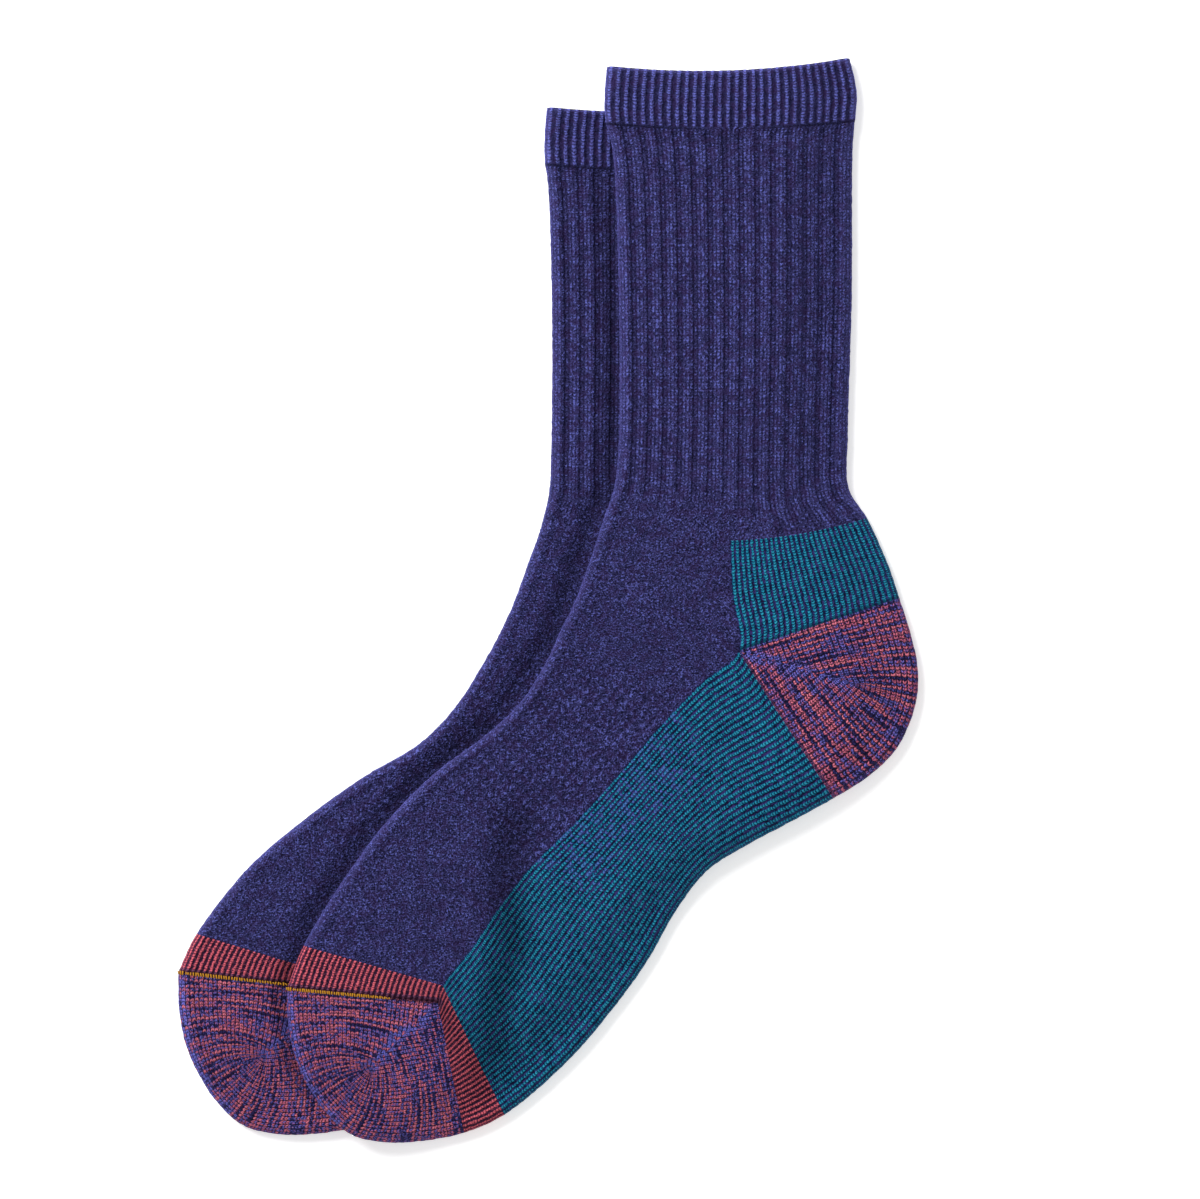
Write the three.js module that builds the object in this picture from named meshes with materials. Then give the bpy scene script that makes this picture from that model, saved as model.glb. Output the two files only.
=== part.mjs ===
import * as THREE from 'three';

// A pair of knitted pile socks laid flat, the upper one over the under one.
// Millimetres. +Z is up from the table, +X to the right and +Y towards the cuffs.
// Each sock is one knitted tube pressed flat: two walls with a narrow space between them,
// open at the rim and closed at the toe.

// Driving dimensions
const tubeGap = 0.7; // between the two walls of a flattened tube
const insetWall = 2.9; // from a folded edge in to the space between the walls
const edgeRun = 4; // over which a folded edge rounds from the table to the top
const cuffRibs = 30; // raised ribs on one face of the turned cuff
const cuffRibRise = 0.55;
const legRibs = 15; // wide ribs on one face of the leg, parted by grooves
const legGrooveDepth = 0.55;
const restHeight = 7.1; // of the upper sock's underside where it lies on the under one
const cuffLift = 0.5; // how much higher it lies on the under one's thicker cuff
const cuffLiftRun = 12;
const drapeRun = 18; // over which it comes down to the table past the under one's edge
const drapeGrip = 3; // how far inside that edge it starts to come down
const rimSag = 0.3; // share of its height that the overhanging cuff loses
const rimSagRun = 14;
const toeCreaseDepth = 0.9;
const toeCreaseHalfWidth = 8;

// One row for each section across a sock, from rim to toe. Front is the fold over the
// instep, back the fold over the heel and sole, and middle the line half way round the
// tube between them. underFront is where the under sock's front fold lies, and underTurn
// the degrees its section is turned from the upper one's. Thick is both walls together,
// and rings the number of steps to the next row.
const columns = ['at', 'front', 'middle', 'back', 'underFront', 'underTurn', 'thick', 'rings'];
const sections = [
  ['rim', [19.8, 177.2], [61.8, 175.8], [100.8, 180.3], [-0.2, 163.8], 0, 6.4, 2],
  ['cuff middle', [19.0, 167.5], [61.6, 166], [103.2, 168.4], [-1, 154.4], 0, 6.6, 2],
  ['cuff edge', [19.5, 157.5], [61.5, 155.8], [102.5, 158.8], [-0.8, 144.2], 0, 6.5, 1],
  ['under the cuff', [20.8, 154.5], [61.6, 152.8], [102.2, 155.8], [-0.2, 141.4], 0, 6.1, 1],
  ['top of leg', [22.2, 144.5], [61.8, 143.8], [101.7, 146.2], [0.5, 132.8], 0, 6.2, 2],
  ['middle of leg', [23.8, 99.5], [62.2, 99.5], [101.5, 100.2], [1.5, 91.2], 0, 6.2, 2],
  ['low leg', [23.8, 52.8], [61.8, 52.2], [100.2, 54.2], [1.2, 49.5], 0, 6.3, 2],
  ['ankle', [22.2, 37.2], [61.5, 32.8], [100.5, 36.8], [0.5, 35.5], 0, 6.4, 1],
  ['top of splice', [18.2, 25.2], [60.8, 19.2], [106.8, 26.5], [-2.2, 23.8], 0, 6.4, 2],
  ['middle of splice', [14.2, 12.8], [60.2, 2.2], [113.0, 12.8], [-6.2, 12.5], 0, 6.4, 1],
  ['top of heel', [9.8, 0.5], [59.8, -15.8], [117.4, 0.2], [-10.2, 1.2], 0, 6.5, 1],
  ['heel, upper', [9.1, -0.9], [59.2, -16.7], [122.2, -15], [-10.8, -0.2], 0, 6.6, 1],
  ['heel, back', [8.6, -2], [58.6, -17.4], [123.6, -28], [-11.3, -1.3], 0, 6.6, 1],
  ['heel, lower back', [8.2, -2.8], [57.8, -18], [120.0, -43.3], [-11.6, -2.1], 0, 6.6, 1],
  ['heel, underside', [7.8, -3.5], [57.1, -18.4], [109.4, -56.6], [-11.9, -2.8], 0, 6.6, 1],
  ['end of heel', [7.5, -4.2], [56.5, -18.8], [95.2, -66.7], [-12.2, -3.5], 0, 6.5, 1],
  ['instep', [4.5, -10.2], [50.8, -26.5], [79.6, -75.2], [-14.8, -9.2], 0, 6.4, 1],
  ['top of arch', [-0.8, -21.8], [39.2, -40.5], [64.2, -83.5], [-20.8, -20.5], -1, 6.3, 1],
  ['arch', [-9.2, -34.8], [24.8, -57.2], [53.2, -90.8], [-30.5, -35.8], -2, 6.2, 2],
  ['end of arch', [-21.5, -46.2], [9.2, -74.5], [42.8, -104.2], [-42.5, -48.2], -4, 6.3, 2],
  ['behind the ball', [-36.8, -57.5], [-5.8, -89.5], [33.5, -120.5], [-61.8, -59.8], -5, 6.4, 2],
  ['ball', [-53.2, -73.8], [-16.5, -103.2], [21.8, -136.8], [-81.8, -74.2], -5, 6.4, 2],
  ['before the band', [-66.5, -91.5], [-25.2, -116.2], [6.5, -154.5], [-99.5, -89.5], -3, 6.4, 2],
  ['top of band', [-81.2, -115.5], [-34.8, -128.8], [-14.4, -172.2], [-117, -111.8], -1, 6.4, 1],
  ['toe seam', [-86.8, -129.8], [-34.2, -134.5], [-28.5, -178.1], [-123.2, -124.6], -1, 6.5, 1],
  ['toe 1', [-87.2, -137.5], [-41, -140.2], [-37.8, -180.4], [-123.6, -134.7], 0, 6.5, 1],
  ['toe 2', [-86.4, -146], [-48, -145.8], [-46.5, -181.4], [-122.4, -143.2], 1, 6.5, 1],
  ['toe 3', [-83.9, -153.4], [-54.5, -151.2], [-54, -181.2], [-120.6, -150.8], 3, 6.4, 1],
  ['toe 4', [-80.9, -160.2], [-61, -157.2], [-61.8, -179.6], [-118, -157.8], 5, 6.2, 1],
  ['toe 5', [-78.1, -164.6], [-67.3, -162.6], [-67.3, -176.8], [-115.4, -162.3], 8, 5.6, 1],
  ['toe 6', [-75.6, -168.4], [-72, -167.4], [-71.6, -173.4], [-112.8, -166.1], 10, 4, 0],
].map((row) => Object.fromEntries(columns.map((column, i) => [column, row[i]])));
const ribsEnd = 'ankle'; // the ribs fade out between this row and the next
const innerEnd = 'toe 4'; // the space between the walls ends here
const widePoints = 30; // across one face where it is plain, and twice that over the ribs
const underPoints = 20;
const innerPoints = 14;

// The crease that runs down the upper sock's foot beside the under sock's sole
const toeCreaseRoute = [[2, -72], [-8, -90], [-12, -108], [-12, -122], [-16, -138], [-14, -157]];

const rowOf = (name) => sections.findIndex((row) => row.at === name);
const smooth = (from, to, value) => THREE.MathUtils.smoothstep(value, from, to);
const curveThrough = (places) => new THREE.CatmullRomCurve3(places, false, 'centripetal');

// The fold, middle and thickness lines of one sock, as curves with one point for each row
function linesOf(isUnder) {
  const lines = { front: [], middle: [], back: [], thick: [] };
  for (const row of sections) {
    const start = isUnder ? row.underFront : row.front;
    const turn = isUnder ? THREE.MathUtils.degToRad(row.underTurn) : 0;
    const place = ([x, y]) => {
      const along = new THREE.Vector2(x - row.front[0], y - row.front[1]);
      along.rotateAround(new THREE.Vector2(0, 0), turn);
      return new THREE.Vector3(start[0] + along.x, start[1] + along.y, 0);
    };
    lines.front.push(place(row.front));
    lines.middle.push(place(row.middle));
    lines.back.push(place(row.back));
    lines.thick.push(new THREE.Vector3(row.thick, 0, 0));
  }
  const curves = Object.entries(lines).map(([name, places]) => [name, curveThrough(places)]);
  return Object.fromEntries(curves);
}

// Where the section at a row number (whole or in between) runs
function sectionAt(lines, row) {
  const t = row / (sections.length - 1);
  return {
    row,
    front: lines.front.getPoint(t),
    middle: lines.middle.getPoint(t),
    back: lines.back.getPoint(t),
    thick: lines.thick.getPoint(t).x,
  };
}

function rowNumbers() {
  const numbers = [];
  sections.forEach((row, i) => {
    for (let k = 0; k < row.rings; k += 1) numbers.push(i + k / row.rings);
  });
  numbers.push(sections.length - 1);
  return numbers;
}

// A point across a section: 0 is the front fold, 0.5 the middle and 1 the back fold.
// Also its distance from the nearer fold.
function across(section, share) {
  const { front, middle, back } = section;
  const toFront = front.distanceTo(middle);
  const toBack = back.distanceTo(middle);
  const half = share < 0.5;
  const place = half
    ? front.clone().lerp(middle, share * 2)
    : middle.clone().lerp(back, share * 2 - 1);
  const fold = Math.min(share * 2 * toFront, (1 - share) * 2 * toBack);
  return { x: place.x, y: place.y, fold };
}

// Closer together near the folds, where the surface rounds
const graded = (share) => share - 0.08 * Math.sin(2 * Math.PI * share);

// Signed distance inside an outline, from its straight steps
function insideOutline(outline, x, y) {
  let inside = false;
  let nearest = Infinity;
  outline.forEach((a, i) => {
    const b = outline[(i + 1) % outline.length];
    const step = b.clone().sub(a);
    const along = ((x - a.x) * step.x + (y - a.y) * step.y) / Math.max(step.lengthSq(), 1e-9);
    const t = THREE.MathUtils.clamp(along, 0, 1);
    nearest = Math.min(nearest, Math.hypot(x - a.x - t * step.x, y - a.y - t * step.y));
    const crosses = a.y > y !== b.y > y && x < a.x + ((y - a.y) / step.y) * step.x;
    if (crosses) inside = !inside;
  });
  return inside ? nearest : -nearest;
}

const underLines = linesOf(true);
const underSections = rowNumbers().map((row) => sectionAt(underLines, row));
const pastRim = 30; // the cuff above doesn't come down at the under sock's rim
const underRim = underSections[0];
const underCuffEdge = sectionAt(underLines, rowOf('cuff edge'));
const underOutline = [
  underRim.front.clone().add(new THREE.Vector3(0, pastRim, 0)),
  ...underSections.map((section) => section.front),
  ...underSections.map((section) => section.back).reverse(),
  underRim.back.clone().add(new THREE.Vector3(0, pastRim, 0)),
];

// Height of the upper sock's underside: on the under sock, then down to the table
function drape(x, y) {
  const held = smooth(-drapeRun, drapeGrip, insideOutline(underOutline, x, y));
  const overhang = smooth(0, rimSagRun, y - underRim.middle.y - drapeGrip);
  const onCuff = smooth(underCuffEdge.middle.y - cuffLiftRun, underCuffEdge.middle.y, y);
  return (restHeight + cuffLift * onCuff) * held * (1 - rimSag * overhang);
}

const toeCrease = curveThrough(toeCreaseRoute.map(([x, y]) => new THREE.Vector3(x, y, 0))).getPoints(24);

function creaseDepth(x, y) {
  const nearest = Math.min(...toeCrease.map((place) => Math.hypot(x - place.x, y - place.y)));
  return toeCreaseDepth * (1 - smooth(0, toeCreaseHalfWidth, nearest));
}

// How far a rib stands out at a point number across, and how deep a groove is
function ribRise(row, share) {
  const cuffEdge = rowOf('cuff edge');
  if (row <= cuffEdge) return cuffRibRise * (0.5 - 0.5 * Math.cos(2 * Math.PI * cuffRibs * share));
  const fade = 1 - smooth(rowOf(ribsEnd), rowOf(ribsEnd) + 1, row);
  const groove = Math.max(0, Math.cos(2 * Math.PI * legRibs * share));
  return -legGrooveDepth * groove * fade;
}

// The share of half the thickness that is reached at a distance from a fold
function rounding(fold, run) {
  const short = 1 - Math.min(fold / run, 1);
  return Math.sqrt(1 - short * short);
}

// The outer surface's points round one section: over the top from front to back,
// then back underneath
function outerRing(section, isUnder) {
  const { row, thick } = section;
  const ribbed = row < rowOf(ribsEnd) + 1;
  const count = ribbed ? widePoints * 2 : widePoints;
  const width = section.front.distanceTo(section.middle) + section.back.distanceTo(section.middle);
  const run = Math.min(edgeRun, width / 2);
  const points = [];
  for (let j = 0; j <= count; j += 1) {
    const share = ribbed ? j / count : graded(j / count);
    const { x, y, fold } = across(section, share);
    const round = rounding(fold, run);
    const base = isUnder ? 0 : drape(x, y);
    const relief = ribRise(row, share) - (isUnder ? 0 : creaseDepth(x, y));
    points.push({ share, z: base + (thick * (1 + round)) / 2 + relief * round, x, y });
  }
  for (let j = 1; j < underPoints; j += 1) {
    const share = 1 - graded(j / underPoints);
    const { x, y, fold } = across(section, share);
    const base = isUnder ? 0 : drape(x, y);
    points.push({ share: 2 - share, z: base + (thick * (1 - rounding(fold, run))) / 2, x, y });
  }
  return points;
}

// The space between the walls, in the same order
function innerRing(section, isUnder) {
  const inset = (end) => {
    const towards = section.middle.clone().sub(end);
    return end.clone().addScaledVector(towards, Math.min(insetWall / towards.length(), 0.6));
  };
  const inner = { ...section, front: inset(section.front), back: inset(section.back) };
  const at = (share, side) => {
    const { x, y, fold } = across(inner, share);
    const base = isUnder ? 0 : drape(x, y);
    const round = rounding(fold, tubeGap);
    const z = base + section.thick / 2 + (side * tubeGap * round) / 2;
    return { share: side > 0 ? share : 2 - share, z, x, y };
  };
  const points = [];
  for (let j = 0; j <= innerPoints; j += 1) points.push(at(graded(j / innerPoints), 1));
  for (let j = 1; j < innerPoints; j += 1) points.push(at(1 - graded(j / innerPoints), -1));
  return points;
}

// One closed solid built up from rings of points
class Shell {
  constructor() {
    this.places = [];
    this.faces = [];
  }

  add(points) {
    return points.map(({ share, x, y, z }) => ({ share, index: this.places.push([x, y, z]) - 1 }));
  }

  // Triangles between two rings, stepping round whichever is behind
  join(a, b) {
    let i = 0;
    let j = 0;
    const shareOf = (ring, k) => (k < ring.length ? ring[k].share : ring[0].share + 2);
    while (i < a.length || j < b.length) {
      const stepA = j >= b.length || (i < a.length && shareOf(a, i + 1) <= shareOf(b, j + 1));
      const p = a[i % a.length].index;
      const q = b[j % b.length].index;
      if (stepA) this.faces.push([p, q, a[(i + 1) % a.length].index]);
      else this.faces.push([p, q, b[(j + 1) % b.length].index]);
      if (stepA) i += 1;
      else j += 1;
    }
  }

  // A fan that closes a ring to its own centre
  close(ring, outwards) {
    const mean = (axis) => ring.reduce((sum, p) => sum + this.places[p.index][axis], 0) / ring.length;
    const centre = [mean(0), mean(1), mean(2)];
    const hub = this.places.push(centre) - 1;
    ring.forEach((p, i) => {
      const next = ring[(i + 1) % ring.length].index;
      this.faces.push(outwards ? [next, p.index, hub] : [p.index, next, hub]);
    });
  }

  geometry() {
    const geometry = new THREE.BufferGeometry();
    geometry.setAttribute('position', new THREE.Float32BufferAttribute(this.places.flat(), 3));
    geometry.setIndex(this.faces.flat());
    geometry.computeVertexNormals();
    return geometry;
  }
}

function sockGeometry(isUnder) {
  const lines = linesOf(isUnder);
  const wholeRows = Array.from({ length: rowOf(innerEnd) + 1 }, (_, row) => row);
  const shell = new Shell();
  const ringOf = (points, row) => shell.add(points(sectionAt(lines, row), isUnder));
  const outer = rowNumbers().map((row) => ringOf(outerRing, row));
  const inner = wholeRows.map((row) => ringOf(innerRing, row));
  for (let i = 1; i < outer.length; i += 1) shell.join(outer[i - 1], outer[i]);
  for (let i = 1; i < inner.length; i += 1) shell.join(inner[i], inner[i - 1]);
  shell.join(inner[0], outer[0]);
  shell.close(outer.at(-1), true);
  shell.close(inner.at(-1), false);
  return shell.geometry();
}

const navyKnit = new THREE.MeshStandardMaterial({ color: 0x32305c, roughness: 0.95, metalness: 0 });

function sock(name, isUnder) {
  const mesh = new THREE.Mesh(sockGeometry(isUnder), navyKnit.clone());
  mesh.name = name;
  return mesh;
}

const pair = new THREE.Group();
pair.add(sock('under_sock', true));
pair.add(sock('upper_sock', false));

export default pair;
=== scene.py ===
# A pair of pile socks, each knitted whole on a circular machine, laid flat one over the other.
# Sizes are in millimetres, turned into metres where a mesh is made.
import math
import bpy
import numpy as np
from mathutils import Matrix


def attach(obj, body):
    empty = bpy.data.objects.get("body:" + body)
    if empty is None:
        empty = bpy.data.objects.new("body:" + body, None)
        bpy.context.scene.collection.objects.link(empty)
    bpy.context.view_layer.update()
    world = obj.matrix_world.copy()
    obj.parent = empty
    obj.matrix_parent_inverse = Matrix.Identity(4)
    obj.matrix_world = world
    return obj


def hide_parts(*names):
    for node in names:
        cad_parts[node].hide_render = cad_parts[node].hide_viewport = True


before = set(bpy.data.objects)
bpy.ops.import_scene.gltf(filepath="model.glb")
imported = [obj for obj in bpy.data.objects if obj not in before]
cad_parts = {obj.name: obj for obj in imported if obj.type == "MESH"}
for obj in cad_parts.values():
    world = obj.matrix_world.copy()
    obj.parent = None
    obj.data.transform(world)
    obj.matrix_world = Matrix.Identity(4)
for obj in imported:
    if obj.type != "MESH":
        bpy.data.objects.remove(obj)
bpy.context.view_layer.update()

# The under sock
# One knitted tube of navy pile with a turned 1x1 rib cuff, a ribbed leg, and teal, coral and
# marled yarns changed in on the back half for the splice, sole, heel and toe. Pressed flat, its
# rows of stitches are drawn from the middle line out to the front fold and to the back fold.

columns = ("front", "middle", "back", "under_front", "turn", "thick")
shared_rows = {
    "rim": ((19.8, 177.2), (61.8, 175.8), (100.8, 180.3), (-0.2, 163.8), 0, 6.4),
    "cuff middle": ((19.0, 167.5), (61.6, 166), (103.2, 168.4), (-1, 154.4), 0, 6.6),
    "cuff edge": ((19.5, 157.5), (61.5, 155.8), (102.5, 158.8), (-0.8, 144.2), 0, 6.5),
    "under the cuff": ((20.6, 154.9), (61.6, 153.2), (102.2, 156.2), (-0.3, 141.8), 0, 6.1),
    "top of leg": ((22.2, 144.5), (61.8, 143.8), (101.7, 146.2), (0.5, 132.8), 0, 6.2),
    "middle of leg": ((23.8, 99.5), (62.2, 99.5), (101.5, 100.2), (1.5, 91.2), 0, 6.2),
    "low leg": ((23.8, 52.8), (61.8, 52.2), (100.2, 54.2), (1.2, 49.5), 0, 6.3),
    "ankle": ((22.2, 37.2), (61.3, 32.8), (100.5, 36.8), (0.5, 35.5), 0, 6.4),
    "top of splice": ((18.2, 25.2), (60.8, 19.2), (106.6, 26.8), (-2.2, 23.8), 0, 6.4),
    "middle of splice": ((14.2, 12.8), (61.5, 1.2), (113.0, 12.8), (-6.2, 12.5), 0, 6.4),
    "heel": ((8.7, -1.8), (63.5, -17.5), (117.4, 0.2), (-11.2, -1.2), 0, 6.5),
    "instep": ((4.5, -10.2), (51.8, -27.5), (79.6, -75.2), (-14.8, -9.2), 0, 6.4),
    "top of arch": ((-0.8, -21.8), (39.2, -40.5), (64.2, -83.5), (-20.8, -20.5), -1, 6.3),
    "arch": ((-9.2, -34.8), (24.8, -57.2), (53.2, -90.8), (-30.5, -35.8), -2, 6.2),
    "end of arch": ((-21.5, -46.2), (9.2, -74.5), (42.8, -104.2), (-42.5, -48.2), -4, 6.3),
    "behind the ball": ((-36.8, -57.5), (-5.8, -89.5), (33.5, -120.5), (-61.8, -59.8), -5, 6.4),
    "ball": ((-53.2, -73.8), (-16.5, -103.2), (21.8, -136.8), (-81.8, -74.2), -5, 6.4),
    "before the band": ((-66.5, -91.5), (-25.2, -116.2), (6.5, -154.5), (-99.5, -89.5), -3, 6.4),
    "top of band": ((-81.2, -115.5), (-34.8, -128.8), (-14.4, -172.2), (-117, -111.8), -1, 6.4),
    "toe seam": ((-86.8, -129.8), (-36.5, -134.4), (-27.8, -178.2), (-123.2, -124.6), -1, 6.5),
}
row_names = list(shared_rows)
row_table = {name: [row[i] for row in shared_rows.values()] for i, name in enumerate(columns)}

# The heel and toe are pockets of short rows on the back half alone. The rows turn about a pivot
# and end on a gore, which runs from the middle line to the pivot.
pockets = {
    "heel": {
        "pivot": (100.8, -28.2), "pivot_share": 0.54, "arc": 1.2,
        "folds": [(117.4, 0.2), (120.9, -11), (123.3, -21.2), (123.5, -30.8),
                  (121.3, -40.2), (116.2, -50.4), (106.9, -59.4), (95.2, -66.7)],
        "gore": [0, 0.21, 0.39, 0.54, 0.54, 0.39, 0.2, 0],
    },
    "toe seam": {
        "pivot": (-58.5, -155.8), "pivot_share": 0.38, "arc": 3.4,
        "folds": [(-27.8, -178.2), (-39.5, -180.6), (-53.2, -181.3), (-65.2, -178.6),
                  (-74.4, -170.4), (-80.6, -160.8), (-84.3, -152.0), (-86.4, -140.8),
                  (-86.8, -129.8)],
        "gore": [0, 0.15, 0.29, 0.37, 0.38, 0.38, 0.34, 0.18, 0],
    },
}
row_pitch, course_pitch, marl_course_pitch, first_marl_course = 1.25, 1.05, 1.27, 1000
rim_steps = (0, 0.02, 0.06, 0.12)
seam_steps = (0.76, 0.81, 0.86, 0.9, 0.93, 0.96, 0.98)
# Places across half a row: even above, and below fewer, which crowd towards the fold
upper_shares = np.linspace(0, 1, 91)
lower_shares = 1 - np.array([0, 0.2, 0.6, 1.3, 2.2, 3.3, 4.6, 6.5, 9, 12, 15, 18, 22, 26, 30, 35, 40]) / 40
lower_shares = lower_shares[::-1]
edge_run, wall_inset, tube_gap, rim_run, rim_row_length = 4.0, 2.9, 0.7, 1.4, 9.7
leg_wales, foot_wales, cuff_ribs, leg_ribs = 30, 28, 15, 7.5
cuff_rib_rise, leg_groove = 0.6, 0.45
seam_depth, seam_half_width, gore_depth, gore_half_width = 0.9, 1.3, 0.3, 2
bank_rise, bank_away, bank_spread = 0.35, 2.6, 1.6
toe_stretch = 1.04


def smoothstep(low, high, value):
    t = np.clip((np.asarray(value, float) - low) / (high - low), 0, 1)
    return t * t * (3 - 2 * t)


def along_rows(values, at):
    """A smooth line through one value or place for each row, read at row numbers."""
    points = np.asarray(values, float).reshape(len(values), -1)
    points = np.vstack([2 * points[0] - points[1], points, 2 * points[-1] - points[-2]])
    at = np.clip(np.atleast_1d(np.asarray(at, float)), 0, len(values) - 1)
    i = np.minimum(at.astype(int), len(values) - 2)
    t = (at - i)[:, None]
    p0, p1, p2, p3 = (points[i + k] for k in range(4))

    def gap(a, b):
        return np.maximum(np.linalg.norm(b - a, axis=1, keepdims=True) ** 0.5, 1e-2)

    d0, d1, d2 = gap(p0, p1), gap(p1, p2), gap(p2, p3)
    leave = ((p1 - p0) / d0 - (p2 - p0) / (d0 + d1) + (p2 - p1) / d1) * d1
    reach = ((p2 - p1) / d1 - (p3 - p1) / (d1 + d2) + (p3 - p2) / d2) * d1
    cubic = 2 * p1 - 2 * p2 + leave + reach
    square = -3 * p1 + 3 * p2 - 2 * leave - reach
    return ((cubic * t + square) * t + leave) * t + p1


def row_number(name):
    return row_names.index(name)


back_folds = []
back_fold_number = []
for name in row_names:
    folds = pockets[name]["folds"] if name in pockets else [shared_rows[name][2]]
    back_fold_number.append((len(back_folds), len(back_folds) + len(folds) - 1))
    back_folds += folds


def knit_rows(strip, pitch):
    """Each row of one half: row number, fold place, gore share, pocket, course and turn."""
    rows = []
    course = 0
    for number, name in enumerate(row_names):
        first, last = back_fold_number[number]
        if strip == "back" and name in pockets:
            pocket = pockets[name]
            travelled = 0
            for k in range(last - first):
                length = np.linalg.norm(np.subtract(pocket["folds"][k + 1], pocket["folds"][k]))
                steps = max(1, round(length / pitch))
                shares = [s / steps for s in range(steps)]
                if first + k == len(back_folds) - 2 and pitch < 2:
                    shares = [share for share in shares if share < 0.84] + [0.87, 0.92, 0.96, 0.98]
                for share in shares:
                    gore = np.interp(k + share, range(len(pocket["gore"])), pocket["gore"])
                    fold = along_rows(back_folds, first + k + share)[0]
                    marl_course = first_marl_course + (travelled + length * share) / marl_course_pitch
                    turned = (k + share) / (last - first)
                    rows.append((number, fold, gore, name, marl_course, turned))
                travelled += length
        if number == len(row_names) - 1:
            fold = np.array(row_table["front"][number], float)
            marl = first_marl_course + travelled / marl_course_pitch if strip == "back" else course
            rows.append((number, fold, 0, name if strip == "back" else None, marl, 0))
            break
        here = (row_table["front"][number], row_table["middle"][number], back_folds[last])
        there = (row_table["front"][number + 1], row_table["middle"][number + 1],
                 back_folds[back_fold_number[number + 1][0]])
        length = max(np.linalg.norm(np.subtract(a, b)) for a, b in zip(here, there))
        steps = max(1, round(length / pitch))
        shares = [s / steps for s in range(steps)]
        if number == 0:
            shares = list(rim_steps) + [share for share in shares if share > rim_steps[-1] + 0.05]
        if number == len(row_names) - 2 and pitch < 2:
            shares = [share for share in shares if share < seam_steps[0] - 0.04] + list(seam_steps)
        for share in shares:
            if strip == "front":
                fold = along_rows(row_table["front"], number + share)[0]
            else:
                fold = along_rows(back_folds, last + share)[0]
            rows.append((number + share, fold, 0, None, course + length * share / course_pitch, 0))
        course += length / course_pitch
    return rows


# Small steps in and out along the folds
fold_steps = np.random.default_rng(7).normal(0, 0.05, 4000)


def row_places(row, shares, inset):
    """Places across one row in the upper sock's lay, with their distance from the fold."""
    at, fold, gore, pocket, _, turned = row
    middle = along_rows(row_table["middle"], at)[0]
    ends = along_rows(row_table["front"], at)[0] + along_rows(row_table["back"], at)[0]
    to_heel = abs(at - row_number("heel"))
    bow = (middle - ends / 2) * smoothstep(0.6, 2.2, to_heel) * (pocket is None)
    bow = bow * (1 - smoothstep(len(row_names) - 5, len(row_names) - 2, at))
    start = middle
    if pocket:
        pivot = np.array(pockets[pocket]["pivot"])
        pivot_share = pockets[pocket]["pivot_share"]
        start = middle + (pivot - middle) * gore / pivot_share
    run = np.linalg.norm(fold - start)
    # A fold's place picks its step, so that the faces on both sides of it still meet
    rough = fold_steps[round(float(fold[0] * 31 + fold[1] * 17) * 10) % len(fold_steps)]
    fold = fold + (start - fold) * min((inset + rough) / run, 0.9)
    run = np.linalg.norm(fold - start)
    past = np.clip((shares - gore) / (1 - gore), 0, 1)[:, None]
    places = start + (fold - start) * past
    if gore > 0:
        on_gore = middle + (pivot - middle) * shares[:, None] / pivot_share
        places = np.where(shares[:, None] <= gore, on_gore, places)
    places = places + bow * (shares * (1 - shares))[:, None]
    if pocket:
        # The short rows of a pocket curve round its pivot
        out = (fold - start) / np.linalg.norm(fold - start)
        arc = pockets[pocket]["arc"] * math.sin(2 * math.pi * turned)
        places = places + np.array([-out[1], out[0]]) * (arc * 4 * past * (1 - past))
    return places, run * (1 - past[:, 0])


def under_lay(at, places):
    """Moves places from the upper sock's lay to the under sock's, in which the foot is turned."""
    front = along_rows(row_table["front"], at)[:, None]
    start = along_rows(row_table["under_front"], at)[:, None]
    turn = np.radians(along_rows(row_table["turn"], at)[:, 0])[:, None]
    to_toe = np.clip((at - len(row_names) + 2.6) / 1.6, 0, 1)[:, None]
    stretch = 1 + (toe_stretch - 1) * to_toe
    x = (places[..., 0] - front[..., 0]) * stretch
    y = (places[..., 1] - front[..., 1]) * stretch
    return np.stack([start[..., 0] + x * np.cos(turn) - y * np.sin(turn),
                     start[..., 1] + x * np.sin(turn) + y * np.cos(turn)], -1)


def rounding(distance, run):
    short = 1 - np.clip(distance / run, 0, 1)
    return np.sqrt(1 - short * short)


def route_distance(route, places):
    """Distance of places from a line of straight steps, and how far along it the nearest is."""
    nearest = np.full(places.shape[:-1], 1e9)
    along = np.zeros(places.shape[:-1])
    for k, (a, b) in enumerate(zip(route, route[1:])):
        a, b = np.array(a, float), np.array(b, float)
        t = np.clip((places - a) @ (b - a) / max((b - a) @ (b - a), 1e-9), 0, 1)
        away = np.linalg.norm(places - a - t[..., None] * (b - a), axis=-1)
        along = np.where(away < nearest, k + t, along)
        nearest = np.minimum(nearest, away)
    return nearest, along


def stacked(rows, shares, inset, is_under):
    at = np.array([row[0] for row in rows], float)
    found = [row_places(row, shares, inset) for row in rows]
    places = np.array([place for place, _ in found])
    folds = np.array([fold for _, fold in found])
    if is_under:
        places = under_lay(at, places)
    return at, places, folds


outline_rows = [knit_rows("front", 4), knit_rows("back", 4)[::-1]]
outline = np.vstack([stacked(rows, np.array([1.0]), 0, True)[1][:, 0] for rows in outline_rows])
past_rim = np.array([0, 30])
under_outline = np.vstack([outline[:1] + past_rim, outline, outline[-1:] + past_rim])


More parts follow.
